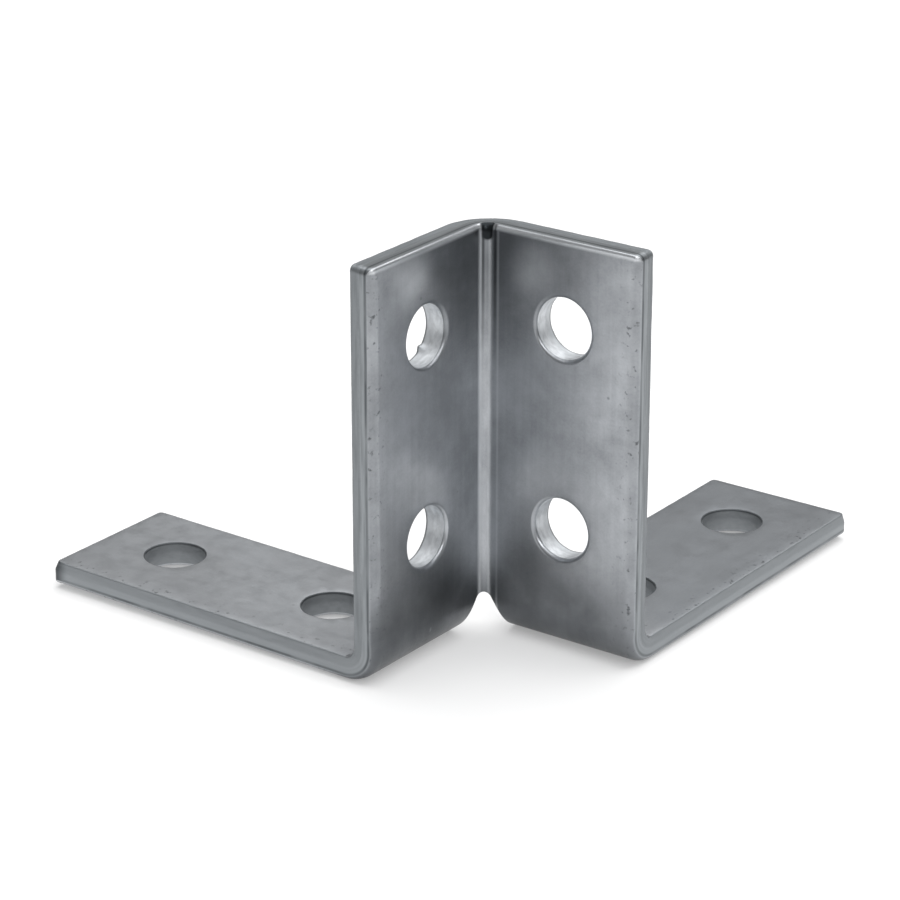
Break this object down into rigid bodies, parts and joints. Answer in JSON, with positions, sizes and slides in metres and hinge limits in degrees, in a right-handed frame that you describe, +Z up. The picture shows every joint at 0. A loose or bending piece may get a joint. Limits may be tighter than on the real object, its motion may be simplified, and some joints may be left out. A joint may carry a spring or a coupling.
{
  "type": "wing corner bracket",
  "caption": "Folded steel plate bracket: uprights at right angles clasp the corner of a post, and the foot at the base of each bolts to a rail or a floor.",
  "frame": {"origin": "centre of the footprint, on the underside of the feet", "axes": "+Z up along the uprights; +X out of the upright whose foot runs towards -X, and -Y out of the upright whose foot runs towards +Y, both into the space for the post"},
  "size_m": [0.1372, 0.1372, 0.0984],
  "materials": {
    "zinc_plated_steel": "satin electroplated zinc"
  },
  "bodies": {
    "root": {"wing_bracket": "zinc_plated_steel"}
  },
  "joints": []
}
